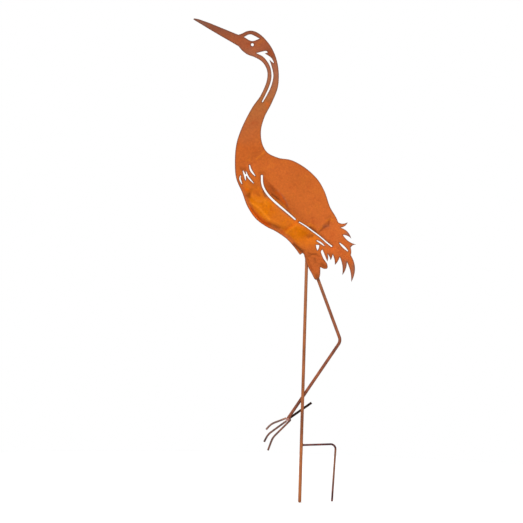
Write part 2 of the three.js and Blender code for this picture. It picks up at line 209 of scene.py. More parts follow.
BEATEN_SIZE = 14.0
BEATEN_HEIGHT = 0.5
BEATEN_LINE = [[-146, 640], [-122, 600], [-92, 572], [-56, 548], [-24, 520], [4, 496]]
BEATEN_WIDTH = 26.0

# Mesh density. The cells are turned so that their rows follow the folds of the body, and a point
# closer than ON_CUT to a cut, or than ON_LINE to a line between cells, counts as on it.
PARTS_BETWEEN_KNOTS = 24
PARTS_OF_FEATHER = 40
OUTLINE_STEP = 2.0
RELIEF_STEP = 4.0
CELL = 2.0
FOLD_ANGLE = math.radians(-42)
ON_CUT = 1e-4
ON_LINE = 1e-3
SLIVER = 0.35
RIM_BEVEL = 0.28
RIM_ANGLE = math.radians(50)
FLAT_SHARE = 0.5
SHARP_ANGLE = math.radians(40)

# Welds. A bead is a start, an end and a width, and a lump is a centre and a size. The rows are beads
# on the back, beside the hidden bars: an x and the heights of both ends. What lies on the sheet has
# its y counted from the sheet's back.
WELD_STEP = 0.35
WELD_FEWEST_STEPS = 8
WELD_PUDDLE = 1.4
WELD_RIPPLE = 0.22
WELD_WANDER = 0.35
WANDER_RATE = 0.31
CROWN_POWER = 6
WELD_TIP = 0.12
WELD_SIDES = 14
LUMP_UNEVEN = 0.35
LUMP_RATES = (0.45, 1.3)
BACK_ROWS = ((-3.3, 512, 528.5), (3.3, 511, 528.5), (-3.2, 466, 476), (3.4, 455, 472))
BACK_ROW_WIDTH = 3.2
BACK_ROW_RISE = 1.0
BAR_END_Y = SHEET_BACK + 1.1
THIGH_HIGH_Y = SHEET_BACK + 0.9
THIGH_LOW_Y = SHEET_BACK + 1.0
THIGH_DAB_Y = SHEET_BACK + 0.4
WELDS = {
    "back_weld": {"beads": (([-3.4, BAR_END_Y, 530.2], [3.4, BAR_END_Y, 530.2], 3.4),)},
    "thigh_weld": {
        "beads": (([16.4, THIGH_HIGH_Y, 440], [24.4, THIGH_LOW_Y, 420.5], 3.2),
                  ([25.4, THIGH_HIGH_Y, 440], [32.6, THIGH_LOW_Y, 420.5], 3.2)),
        "lumps": (([29.0, THIGH_DAB_Y, 419.0], [8.0, 4.6, 4.4]),),
    },
    "crossing_weld": {
        "beads": (([-5.6, 4.6, 111.5], [-2.6, 4.4, 117.5], 3.4),
                  ([0.8, 4.4, 123.5], [4.2, 4.6, 130], 3.4)),
    },
    "foot_weld": {
        "beads": (([-41.0, 8.2, 66.6], [-31.5, 7.4, 61.0], 3.6),),
        "lumps": (([-35.2, 8.4, 65.0], [9.5, 9.0, 9.0]), ([-33.4, 13.2, 66.0], [8.0, 5.0, 6.5])),
    },
    "toe_weld": {"lumps": (([-30.8, 9.0, 63.6], [6.5, 6.0, 6.5]),)},
    "step_weld": {"lumps": (([4.6, 1.0, 2.6], [3.0, 5.6, 5.6]),)},
}

# Tones of the sheet. The belly is a brighter orange inside the press edge and below the wing, less so
# close to the wing: partly its own rust, partly painted light where the belly faces the lamp. The strip
# between the upper slot and the edge of the wing above it is a darker red brown: painted shade on the
# wing's flank, which faces down.
# A tone comes in or goes out between two distances, or over four heights: none, full, full, none.
GLOW_HEIGHTS = (466.0, 535.0, 612.0, 690.0)
GLOW_ENDS_AT = (22.0, 46.0)
GLOW_INSIDE = (1.0, 9.0)
GLOW_BELOW_WING = (-4.0, 8.0)
GLOW_FULL_BELOW_WING = (8.0, 24.0)
GLOW_LOST_AT_WING = 0.45
# Painted shade on the down-facing flank under the wing's edge: its share, and where it starts and ends
UNDER_WING_SHARE = 0.5
UNDER_WING_ABOVE_SLOT = (1.0, 6.0)
UNDER_WING_EDGE = (-2.0, 1.0)
UNDER_WING = [[-107, 665], [-99, 657], [-77, 636], [-59, 615], [-51, 599], [-45, 589], [-39, 573]]
# The fine folds in the colour: a painted highlight on the raised ones and painted shade in the sunk ones
TONED_FOLDS = (0.25, 1.2)
FOLDS_INSIDE = (-2.0, 3.0)
RIDGE_SHARE = 0.4
HOLLOW_SHARE = 0.45
EDGE_TINT_WIDTH = 3.6
# The back, which lay face down while the bird was pressed and stacked, keeps the tones much fainter, and
# with them the painted light, shade and highlights among the tones
BACK_SHARE = 0.45
# Marks on the sheet, of heat, handling and wear and also painted shade, painted shadow and painted
# highlights: a line, its half width and its strength
MARKS = {
    # Heat marks, and painted shade along the belly's lower flank, the tail crease, the neck crease, the
    # folds, the dents and beside the slots
    "scorch_and_painted_shade": (
        ([[-149, 627], [-147, 617]], 4.0, 0.45),
        ([[-113, 632], [-108, 621]], 3.2, 0.50),
        ([[-142, 590], [-130, 575], [-114, 559], [-99, 551]], 2.0, 0.35),
        ([[-99, 554], [-87, 550], [-71, 544]], 2.8, 0.45),
        ([[-92, 627], [-83, 621], [-75, 615]], 2.0, 0.55),
        ([[5, 548], [12, 544], [21, 537]], 2.2, 0.70),
        ([[44, 570], [55, 577]], 2.2, 0.30),
        ([[52, 563], [52, 552]], 2.2, 0.34),
        ([[49, 551], [41, 548], [34, 541], [28, 534]], 1.8, 0.32),
        ([[2, 524], [12, 527]], 4.5, 0.45),
        ([[-34, 504], [-23, 496], [-11, 486]], 3.8, 0.70),
        ([[5, 475], [13, 480], [24, 481]], 2.2, 0.50),
        ([[19, 469], [22, 461]], 4.0, 0.35),
        ([[-1, 475], [6, 458], [14, 441]], 3.0, 0.35),
        ([[37, 456], [46, 450]], 5.0, 0.45),
        ([[26, 427], [28, 419]], 5.5, 0.55),
        ([[57, 482], [62, 468]], 3.5, 0.30),
        ([[16, 440], [23, 424]], 6.0, 0.20),
        ([[-6, 506], [13, 494]], 12.0, 0.12),
        ([[-111, 986], [-101, 970]], 7.5, 0.35),
        ([[-170, 689], [-162, 684]], 5.0, 0.38),
        ([[-153, 668], [-142, 659]], 3.8, 0.25),
        ([[-129, 722], [-64, 698], [-15, 670]], 22.5, 0.13),
        ([[-95, 646], [-79, 630]], 4.0, 0.30),
        ([[-118, 719], [-131, 709], [-151, 699]], 2.4, 0.16),
        ([[-147, 658], [-132, 644]], 6.0, 0.20),
        ([[-156, 621], [-142, 639]], 5.5, 0.22),
    ),
    "reddened": (
        ([[-145, 588], [-129, 573], [-113, 559], [-97, 550]], 5.4, 0.95),
        ([[-82, 632], [-78, 629]], 2.8, 0.60),
        ([[-65, 613], [-58, 606]], 3.0, 0.60),
        ([[-73, 630], [-68, 619]], 4.5, 0.45),
        ([[-156, 637], [-151, 634]], 3.8, 0.45),
        ([[-29, 558], [-48, 543], [-64, 533]], 4.0, 0.28),
        ([[61, 493], [67, 498]], 4.5, 0.28),
        ([[-111, 852], [-107, 847]], 5.5, 0.30),
    ),
    # Painted highlights along the belly's ridge, on the folds, by the tail crease and on the neck crease
    "painted_highlight_streaks": (
        ([[-140, 602], [-125, 592], [-107, 576], [-96, 563]], 2.2, 0.65),
        ([[-110, 611], [-104, 602]], 5.0, 0.60),
        ([[-130, 603], [-119, 596]], 3.5, 0.35),
        ([[-26, 553], [-41, 540], [-55, 530]], 3.8, 0.30),
        ([[-87, 614], [-69, 604], [-58, 594]], 3.2, 0.40),
        ([[4, 555], [17, 548]], 3.8, 0.40),
        ([[46, 564], [53, 568]], 1.8, 0.35),
        ([[58, 569], [61, 565]], 2.2, 0.35),
        ([[36, 550], [28, 540]], 1.6, 0.35),
        ([[-109, 736], [-122, 723], [-133, 714]], 2.2, 0.26),
        ([[-148, 711], [-158, 709]], 2.0, 0.20),
    ),
    # Grey rust on the beak tip and the feather tips
    "grey_rust_and_painted_shadow": (
        ([[-299, 1058], [-271, 1044]], 6.5, 0.50),
        ([[41, 550], [51, 552]], 4.0, 0.30),
        ([[86, 549], [97, 551], [103, 557]], 3.8, 0.60),
        ([[97, 534], [106, 527], [110, 518]], 3.8, 0.60),
        ([[109, 503], [122, 501]], 3.8, 0.75),
        ([[118, 455], [117, 431], [112, 414]], 6.5, 0.50),
        ([[96, 462], [93, 441], [90, 429]], 6.0, 0.50),
        # Painted shadow beside the upper wing slot and under the wing's edge
        ([[-118, 652], [-114, 637], [-104, 620]], 3.2, 0.40),
        ([[-76, 598], [-45, 574]], 5.0, 0.30),
        ([[-77, 636], [-59, 615], [-51, 599]], 2.4, 0.30),
    ),
}
# Heights between which the sheet's colours follow each other, and over which other tones come in
SHADED_HEIGHTS = (420, 1060)
BEAK_HEIGHTS = (1010, 1035)
WARM_HEIGHTS = (240, 420)
EARTH_HEIGHTS = (20, -50)
# Heights over which a stretch of a bar takes on a tone: none, full, full, none
MUDDY_FOOT = (0, 12, 60, 85)
# The shin darkens where the leg passes behind the stake: heat tint from the weld and painted shadow of
# the stake
SHIN_BURN_AND_PAINTED_SHADOW = (88, 104, 124, 140)
RUSTY_TINE = (-120, -60, -12, 0)
# Rust grit and the pits in scale are 0.2 to 0.4 mm across, drawn here several times as coarse so that
# they show: sizes of the grit and the pits on each surface, and how far they stand out
SHEET_GRIT = (2.4, 1.1)
BAR_GRIT = (2.0, 1.0)
WIRE_GRIT = (1.8, 0.9)
WELD_GRIT = (1.4, 0.8)
GRIT_HEIGHT = 0.35
PIT_DEPTH = 0.15
# Levels of the noise at which a surface takes its colours, from dark to light
BAR_LEVELS = (0.25, 0.425, 0.6, 0.75)
WIRE_LEVELS = (0.28, 0.456, 0.588, 0.72)
BLACK_LEVELS = (0.35, 0.62, 0.8)
WELD_LEVELS = (0.3, 0.5, 0.7)

# Camera, floor and light. A softbox is its azimuth, its elevation, its strength and its width.
FRAME_HEIGHT = 1307.5
FRAME_CENTRE = [-112.8, 458.2]
CAMERA_DISTANCE = 6000.0
CAMERA_ROLL = math.radians(1.67)
SENSOR = 36.0
VIEW_DEPTH = 100000.0
FLOOR_LEVEL = STAKE_POINT - 1.0
FLOOR_RADIUS = 1500.0
FLOOR_SIDES = 96
ROOM_LIGHT = 0.28
TOP_SOFTBOX = (-18, 55, 3.2, 40)
BACK_SOFTBOX = (150, 48, 0.7, 60)


# Lines and rings in the plane of the sheet
def smooth_line(knots, step):
    """Centripetal Catmull-Rom line through the knots, as points about one step apart."""
    knots = np.array(knots, float)
    knots = np.vstack([2 * knots[0] - knots[1], knots, 2 * knots[-1] - knots[-2]])
    fine = []
    for a, b, c, d in zip(knots, knots[1:], knots[2:], knots[3:]):
        before, here, after = (math.sqrt(np.linalg.norm(v)) for v in (b - a, c - b, d - c))
        leaving = ((b - a) / before - (c - a) / (before + here) + (c - b) / here) * here
        arriving = ((c - b) / here - (d - b) / (here + after) + (d - c) / after) * here
        for t in np.linspace(0, 1, PARTS_BETWEEN_KNOTS, endpoint=False):
            square, cube = t * t, t * t * t
            fine.append((2 * cube - 3 * square + 1) * b + (cube - 2 * square + t) * leaving
                        + (3 * square - 2 * cube) * c + (cube - square) * arriving)
    fine.append(knots[-2])
    return evenly(np.array(fine), step)


def evenly(points, step):
    """The same line as points of equal spacing, about one step apart."""
    run = np.concatenate([[0], np.cumsum(np.linalg.norm(np.diff(points, axis=0), axis=1))])
    places = np.linspace(0, run[-1], max(2, round(run[-1] / step)) + 1)
    return np.column_stack([np.interp(places, run, points[:, k]) for k in (0, 1)])


def feather_edge(start, end, bulge):
    """Shallow arc between two corners."""
    along = (end - start) / np.linalg.norm(end - start)
    control = (start + end) / 2 + 2 * bulge * np.array([-along[1], along[0]])
    t = np.linspace(0, 1, PARTS_OF_FEATHER)[:, None]
    return evenly((1 - t) ** 2 * start + 2 * t * (1 - t) * control + t * t * end, OUTLINE_STEP)


def closed_ring(strokes):
    return np.vstack([np.array(stroke)[:-1] for stroke in strokes])


def bird_outline():
    feathers = []
    start = np.array(THIGH_SPUR[-1], float)
    for corner, bulge in FRINGE:
        end = np.array(corner, float)
        feathers.append(feather_edge(start, end, bulge))
        start = end
    beak = evenly(np.array(BEAK_UPPER, float), OUTLINE_STEP)[::-1]
    strokes = (BEAK_LOWER, THROAT_AND_BREAST, BELLY, BELLY_TAB, THIGH, THIGH_SPUR)
    fronts = [smooth_line(line, OUTLINE_STEP) for line in strokes]
    back = smooth_line(CROWN_AND_NAPE + BACK, OUTLINE_STEP)[::-1]
    return closed_ring([*fronts, *feathers, back, beak])


def slot_sides(line, width, ends):
    """Left side, right side, end tip and start tip of a slot round its centre line."""
    centre = smooth_line(line, OUTLINE_STEP)
    along = np.linspace(0, 1, len(centre))
    ahead = np.gradient(centre, axis=0)
    ahead /= np.linalg.norm(ahead, axis=1)[:, None]
    side = np.column_stack([-ahead[:, 1], ahead[:, 0]])
    share = np.where(along < 0.5, ends[0], ends[1])
    half = width / 2 * (share + (1 - share) * np.sin(np.pi * along))
    reach = (ahead * half[:, None] * TIP_ROUNDING)[[-1, 0]] * [[1], [-1]]
    spread = side * half[:, None]
    return centre + spread, centre - spread, centre[-1] + reach[0], centre[0] + reach[1]


def slot_ring(line, width, ends):
    left, right, end_tip, start_tip = slot_sides(line, width, ends)
    return np.vstack([left, end_tip, right[::-1], start_tip])


def crossed_ring(east, west, low, high):
    """One ring round two slots that run down side by side, joined by a short cut from low to high."""
    east_left, east_right, east_end, east_start = slot_sides(*east)
    west_left, west_right, west_end, west_start = slot_sides(*west)
    return np.vstack([
        east_left, east_end, east_right[east_right[:, 1] < low][::-1],
        west_left[west_left[:, 1] < low], west_end, west_right[::-1], west_start,
        west_left[west_left[:, 1] > high], east_right[east_right[:, 1] > high][::-1], east_start,
    ])


def round_hole(centre, diameter):
    turns = np.linspace(0, 2 * np.pi, HOLE_SIDES, endpoint=False)
    return np.array(centre) + diameter / 2 * np.column_stack([np.cos(turns), np.sin(turns)])


def sheet_rings():
    """The outline first, then every cut-out."""
    stripe = closed_ring([
        smooth_line(line, OUTLINE_STEP)
        for line in (STRIPE_INNER, STRIPE_END, STRIPE_OUTER, STRIPE_BARB_SIDE, STRIPE_BARB_TOP)
    ])
    crest = closed_ring([smooth_line(CREST_UPPER, OUTLINE_STEP), smooth_line(CREST_LOWER, OUTLINE_STEP)])
    drop = evenly(np.array([*DROP_HOLE, DROP_HOLE[0]], float), OUTLINE_STEP)[:-1]
    slots = [slot_ring(*slot) for slot in WING_SLOTS + SHORT_SLOTS]
    return [bird_outline(), round_hole(*EYE), crest, stripe, drop, crossed_ring(*CROSSED_NICKS), *slots]


# Relief of the sheet
def rise(share):
    """Eases from 0 to 1 with a steep foot and a rounded top."""
    return 1 - (1 - np.clip(share, 0, 1)) ** 2


def ease(values, low, high):
    share = np.clip((values - low) / (high - low), 0, 1)
    return share * share * (3 - 2 * share)


def falling_off(points, line, half_width):
    """1 on a line, falling off to 0 beside it."""
    return np.exp(-((offset_from(points, smooth_line(line, RELIEF_STEP)) / half_width) ** 2))


def near(points, place):
    """1 at a place, falling off to 0 around it."""
    at, radius = place
    return np.exp(-((np.linalg.norm(points - at, axis=1) / radius) ** 2))


def offset_from(points, line):
    """Distance to a line of points, positive on the line's left side."""
    nearest = np.full(len(points), np.inf)
    side = np.ones(len(points))
    for start, end in zip(line, line[1:]):
        along = end - start
        across = points - start
        share = np.clip(across @ along / (along @ along), 0, 1)
        across = across - share[:, None] * along
        distance = np.linalg.norm(across, axis=1)
        closer = distance < nearest
        turn = along[0] * across[:, 1] - along[1] * across[:, 0]
        side[closer] = np.where(turn < 0, -1, 1)[closer]
        nearest[closer] = distance[closer]
    return side * nearest


PRESS_LINE = smooth_line(PRESS_EDGE, RELIEF_STEP)
WING_LINE = smooth_line(WING_EDGE, RELIEF_STEP)
CREASE_LINE = smooth_line(TAIL_CREASE, RELIEF_STEP)
BACK_LINE = smooth_line(BACK, RELIEF_STEP)
VALLEY_LINES = [smooth_line(line, RELIEF_STEP) for line, _, _ in WING_SLOTS]


def main_relief(points):
    """Height of the body and the wing over the flat sheet."""
    inside = offset_from(points, PRESS_LINE)
    neck_share = ease(points[:, 1], NECK_FLANK_FROM, NECK_FLANK_TO)
    extra = sum(more * near(points, (at, radius)) for at, radius, more in SOFT_FLANKS)
    flank = BELLY_FLANK + (NECK_FLANK - BELLY_FLANK) * neck_share + extra
    body = BODY_HEIGHT * rise(inside / flank)
    past_wing_edge = offset_from(points, WING_LINE)
    wing = WING_HEIGHT * near(points, WING_DOME) * rise(past_wing_edge / WING_FLANK)
    to_slot = np.min([abs(offset_from(points, line)) for line in VALLEY_LINES], axis=0)
    valley = SLOT_VALLEY_DEPTH * np.exp(-((to_slot / SLOT_VALLEY_WIDTH) ** 2))
    past_crease = np.minimum(past_wing_edge, offset_from(points, CREASE_LINE))
    tail = TAIL_DROP * ease(past_crease, 0, TAIL_CREASE_WIDTH)
    back_edge = ease(abs(offset_from(points, BACK_LINE)), -BACK_FADE / 4, BACK_FADE)
    thigh_slope = ease(points[:, 1], THIGH_SLOPE_FROM, THIGH_SLOPE_TO)
    height = (body + wing - valley - tail) * back_edge * thigh_slope
    height = np.maximum(0, height * (1 - near(points, ROD_DENT)))
    return np.where(inside > 0, height, 0)


def bumps(points, size):
    """Smooth uneven ground of a given size, from about -1 to 1."""
    return np.array([noise.noise((x / size, z / size, size)) for x, z in points])


def fine_relief(points):
    """Creases, dents and the unevenness that beating the belly out has left."""
    height = np.zeros(len(points))
    for line, high, half_width in FOLDS:
        height += high * falling_off(points, line, half_width)
    height += BEATEN_HEIGHT * falling_off(points, BEATEN_LINE, BEATEN_WIDTH) * bumps(points, BEATEN_SIZE)
    pressed = ease(offset_from(points, PRESS_LINE), 0, WARP_SIZE)
    return height + WARP_HEIGHT * pressed * bumps(points, WARP_SIZE)


def relief(points):
    main = main_relief(points)
    return np.clip(main + fine_relief(points) * ease(main, 0, FOLDS_FULL_AT), 0, DEEPEST_RELIEF)


# Meshes
def points_of(verts):
    return np.array([(v.co.x, v.co.z) for v in verts]) / MM


def cut_in_cells(bm):
    """Cuts the filled sheet along a turned lattice and takes the fill's own edges out again."""
    spots = points_of(bm.verts)
    lattice = (
        np.array([math.cos(FOLD_ANGLE), math.sin(FOLD_ANGLE)]),
        np.array([-math.sin(FOLD_ANGLE), math.cos(FOLD_ANGLE)]),
    )
    for across in lattice:
        reach = spots @ across
        for place in np.arange(math.ceil(reach.min() / CELL), math.floor(reach.max() / CELL) + 1) * CELL:
            x, z = across * place * MM
            bmesh.ops.bisect_plane(
                bm, geom=bm.verts[:] + bm.edges[:] + bm.faces[:], dist=ON_CUT * MM,
                plane_co=(x, 0, z), plane_no=(across[0], 0, across[1]))

    def on_lattice(edge):
        ends = points_of(edge.verts)
        for across in lattice:
            start, end = ends @ across
            if abs(start - end) < ON_LINE and abs(start / CELL - round(start / CELL)) < ON_LINE:
                return True
        return False

    spare = [edge for edge in bm.edges if not edge.is_boundary and not on_lattice(edge)]
    bmesh.ops.dissolve_edges(bm, edges=spare, use_verts=False)
    spare = [v for v in bm.verts if len(v.link_edges) == 2 and not v.is_boundary]
    bmesh.ops.dissolve_verts(bm, verts=spare)
    bmesh.ops.remove_doubles(bm, verts=bm.verts[:], dist=SLIVER * MM)
    bmesh.ops.delete(bm, geom=[edge for edge in bm.edges if not edge.link_faces], context="EDGES")


def finished(name, bm, material):
    """A mesh object from a bmesh, with its faces pointing out and soft shading between close angles."""
    if bm.calc_volume(signed=True) < 0:
        bmesh.ops.reverse_faces(bm, faces=bm.faces[:])
    mesh = bpy.data.meshes.new(name)
    bm.to_mesh(mesh)
    bm.free()
    mesh.shade_smooth()
    mesh.set_sharp_from_angle(angle=SHARP_ANGLE)
    mesh.materials.append(material)
    piece = bpy.data.objects.new(name, mesh)
    bpy.context.scene.collection.objects.link(piece)
    return piece


def pressed_heron():
    rings = sheet_rings()
    bm = bmesh.new()
    for ring in rings:
        corners = [bm.verts.new((x * MM, 0, z * MM)) for x, z in ring]
        for a, b in zip(corners, corners[1:] + corners[:1]):
            bm.edges.new((a, b))
    bmesh.ops.triangle_fill(bm, edges=bm.edges[:], use_dissolve=False, normal=(0, -1, 0))
    cut_in_cells(bm)
    for vert, height in zip(bm.verts, relief(points_of(bm.verts))):
        vert.co.y = (SHEET_FRONT - height) * MM
    grown = bmesh.ops.extrude_face_region(bm, geom=bm.faces[:], use_keep_orig=True)["geom"]
    behind = [v for v in grown if isinstance(v, bmesh.types.BMVert)]
    bmesh.ops.translate(bm, verts=behind, vec=(0, SHEET_THICKNESS * MM, 0))
    bmesh.ops.recalc_face_normals(bm, faces=bm.faces[:])
    rim = [
        edge for edge in bm.edges
        if edge.is_manifold and edge.calc_face_angle() > RIM_ANGLE
        and any(abs(face.normal.y) > FLAT_SHARE for face in edge.link_faces)]
    bmesh.ops.bevel(bm, geom=rim, offset=RIM_BEVEL * MM, segments=2, profile=0.5, affect="EDGES",
                    material=-1, clamp_overlap=False)
    return bm, rings


def rod_stations(corners, bend_radius):
    """Points and directions along a bar: even steps on the straights, small turns in the bends."""
    corners = [Vector(corner) for corner in corners]
    spots = [(corners[0], (corners[1] - corners[0]).normalized())]
    for before, corner, after in zip(corners, corners[1:], corners[2:]):
        inward, outward = (corner - before).normalized(), (after - corner).normalized()
        axis = inward.cross(outward).normalized()
        turn = inward.angle(outward)
        start = corner - inward * bend_radius * math.tan(turn / 2)
        centre = start + axis.cross(inward) * bend_radius
        steps = max(2, math.ceil(turn / BEND_STEP))
        for k in range(steps + 1):
            swing = Matrix.Rotation(turn * k / steps, 3, axis)
            spots.append((centre + swing @ (start - centre), swing @ inward))
    spots.append((corners[-1], spots[-1][1]))
    stations = [spots[0]]
    for (a, _), (b, ahead) in zip(spots, spots[1:]):
        parts = max(1, round((b - a).length / STRAIGHT_STEP))
        for k in range(1, parts):
            stations.append((a.lerp(b, k / parts), (b - a).normalized()))
        stations.append((b, ahead))
    return stations


def sweep(bm, stations, radii, sides):
    """A closed round bar through the stations, one radius each."""
    point, ahead = stations[0]
    face_along = Vector((0, 0, 1)).rotation_difference(ahead).to_matrix().to_4x4()
    made = bmesh.ops.create_circle(
        bm, cap_ends=False, segments=sides, radius=radii[0] * MM,
        matrix=Matrix.Translation(point * MM) @ face_along)
    ring = made["verts"]
    edges = list({e for v in ring for e in v.link_edges})
    first = edges
    for k in range(1, len(stations)):
        (a, old_ahead), (b, new_ahead) = stations[k - 1], stations[k]
        grown = bmesh.ops.extrude_edge_only(bm, edges=edges)["geom"]
        ring = [v for v in grown if isinstance(v, bmesh.types.BMVert)]
        new = set(ring)
        edges = [e for e in grown if isinstance(e, bmesh.types.BMEdge) and new.issuperset(e.verts)]
        turn = old_ahead.rotation_difference(new_ahead).to_matrix().to_4x4()
        scale = Matrix.Scale(radii[k] / radii[k - 1], 4)
        move = Matrix.Translation(b * MM) @ turn @ scale @ Matrix.Translation(-a * MM)
        bmesh.ops.transform(bm, matrix=move, verts=ring)
    bmesh.ops.holes_fill(bm, edges=first + edges)


def bent_bar(node, sides):
    """A round bar along its route, its cut ends a little rounded and the stake's foot tapered."""
    corners, bend_radius, diameter = ROUTES[node]
    stations = rod_stations(corners, bend_radius)
    radii = [diameter / 2] * len(stations)
    if node == "main_stake":
        foot, ahead = stations[-1]
        stations.insert(-1, (foot - ahead * POINT_LENGTH, ahead))
        radii.append(POINT_FLAT / 2)
    bm = bmesh.new()
    sweep(bm, stations, radii, sides)
    ends = [e for face in bm.faces if len(face.verts) > 4 for e in face.edges]
    bmesh.ops.bevel(bm, geom=ends, offset=CUT_END_ROUNDING * MM, segments=3, profile=0.5,
                    affect="EDGES", material=-1)
    bmesh.ops.recalc_face_normals(bm, faces=bm.faces[:])
    return bm


def weld_bead(bm, start, end, width):
    """A weld run: a round bead whose surface steps up and down as the puddles follow each other."""
    start, end = Vector(start), Vector(end)
    length = (end - start).length
    steps = max(WELD_FEWEST_STEPS, round(length / WELD_STEP))
    ahead = (end - start).normalized()
    stations, radii = [], []
    for k in range(steps + 1):
        share = k / steps
        wander = noise.noise_vector((end + ahead * k) * WANDER_RATE) * WELD_WANDER
        stations.append((start.lerp(end, share) + wander, ahead))
        crown = math.sqrt(max(0, 1 - (2 * share - 1) ** CROWN_POWER))
        puddle = 1 - WELD_RIPPLE * abs(math.sin(math.pi * share * length / WELD_PUDDLE))
        radii.append(width / 2 * max(WELD_TIP, crown * puddle))
    sweep(bm, stations, radii, WELD_SIDES)


def weld_lump(bm, centre, size):
    """A short dab of weld: a ball, flattened and uneven."""
    centre = Vector(centre) * MM
    flattened = Matrix.Diagonal((*[width * MM for width in size], 1))
    made = bmesh.ops.create_icosphere(
        bm, subdivisions=4, radius=0.5, matrix=Matrix.Translation(centre) @ flattened)
    broad, narrow = LUMP_RATES
    for vert in made["verts"]:
        spot = vert.co / MM
        swell = 1 + LUMP_UNEVEN * (noise.noise(spot * broad) + noise.noise(spot * narrow) / 2)
        vert.co = centre + (vert.co - centre) * swell


# Materials
def srgb(code):
    """Linear colour of an sRGB hex value."""
    parts = [int(code[k:k + 2], 16) / 255 for k in (1, 3, 5)]
    return (*[c / 12.92 if c <= 0.04045 else ((c + 0.055) / 1.055) ** 2.4 for c in parts], 1.0)


def add(tree, kind, sockets=(), stops=(), **settings):
    """A node with its settings. Each socket takes a value, or a link where the value is an output."""
    node = tree.nodes.new("ShaderNode" + kind)
    for key, value in settings.items():
        setattr(node, key, value)
    for key, value in dict(sockets).items():
        if isinstance(value, bpy.types.NodeSocket):
            tree.links.new(value, node.inputs[key])
        else:
            node.inputs[key].default_value = value
    for k, (place, colour) in enumerate(stops):
        elements = node.color_ramp.elements
        element = elements[k] if k < 2 else elements.new(place)
        element.position = place
        element.color = srgb(colour)
    return node


def blank_material(name):
    material = bpy.data.materials.new(name)
    material.use_nodes = True
    material.node_tree.nodes.clear()
    return material, material.node_tree


def grain(tree, size, detail=3.0, roughness=0.55, stretch=(1, 1, 1)):
    """Noise whose blotches are about size millimetres across, in the piece's own space."""
    place = add(tree, "TexCoord").outputs["Object"]
    place = add(tree, "Mapping", {"Vector": place, "Scale": stretch}).outputs["Vector"]
    settings = {"Vector": place, "Scale": 0.5 / (size * MM), "Detail": detail, "Roughness": roughness}
    return add(tree, "TexNoise", settings).outputs["Fac"]


def height_over_ground(tree):
    """Height on the piece in millimetres."""
    place = add(tree, "TexCoord").outputs["Object"]
    height = add(tree, "SeparateXYZ", {0: place}).outputs["Z"]
    return add(tree, "Math", {0: height, 1: MM}, operation="DIVIDE").outputs[0]


def stained(tree, colour, tint, pattern, low=0.0, high=1.0, strength=1.0):
    """The colour with a tint over it: none where the pattern is low, the strength where it is high."""
    sockets = {"Value": pattern, "From Min": low, "From Max": high, "To Max": strength}
    share = add(tree, "MapRange", sockets).outputs["Result"]
    # A Mix node's inputs 6 and 7 and its output 2 are its colours
    sockets = {0: share, 6: colour, 7: srgb(tint)}
    return add(tree, "Mix", sockets, data_type="RGBA").outputs[2]


def stained_stretch(tree, colour, tint, heights, strength):
    """The colour with a tint over a stretch of the bar, given by the heights none, full, full, none."""
    low, low_full, high_full, high = heights
    height = height_over_ground(tree)
    sockets = {"Value": height, "From Min": low, "From Max": low_full, "To Max": strength}
    rising = add(tree, "MapRange", sockets).outputs["Result"]
    return stained(tree, colour, tint, height, high, high_full, rising)


def thinned_tone(tree, name, pattern, low, high, thinnest):
    """A tone stored on the sheet, thinned to a share of itself where the pattern is low."""
    tone = add(tree, "Attribute", attribute_name=name).outputs["Fac"]
    sockets = {"Value": pattern, "From Min": low, "From Max": high, "To Min": thinnest}
    share = add(tree, "MapRange", sockets).outputs["Result"]
    return add(tree, "Math", {0: tone, 1: share}, operation="MULTIPLY").outputs[0]


def mottled(tree, blotch, levels, colours):
    """Colours from dark to light, each at its level of noise with blotches of the given size."""
    pattern = grain(tree, blotch, detail=4)
    return add(tree, "ValToRGB", {"Fac": pattern}, stops=zip(levels, colours)).outputs["Color"]


def rust_finish(tree, colour, sizes, shine, dullness):
    """Matt rust over the colour: grit and pits in the bump, and a roughness that follows the grit."""
    grit_size, pit_size = sizes
    smoothest, dullest = dullness
    grit = grain(tree, grit_size, roughness=0.6)
    pits = grain(tree, pit_size, detail=2)
    bump = add(tree, "Bump", {"Height": grit, "Strength": 0.55, "Distance": GRIT_HEIGHT * MM})
    bump = add(tree, "Bump", {
        "Height": pits, "Strength": 0.4, "Distance": PIT_DEPTH * MM, "Normal": bump.outputs[0]})
    sockets = {"Value": grit, "From Min": 0.3, "From Max": 0.7, "To Min": smoothest, "To Max": dullest}
    rough = add(tree, "MapRange", sockets).outputs["Result"]
    surface = add(tree, "BsdfPrincipled", {
        "Base Color": colour, "Roughness": rough, "Metallic": 0.0, "IOR": 1.5,
        "Specular IOR Level": shine, "Normal": bump.outputs[0]})
    add(tree, "OutputMaterial", {"Surface": surface.outputs[0]})


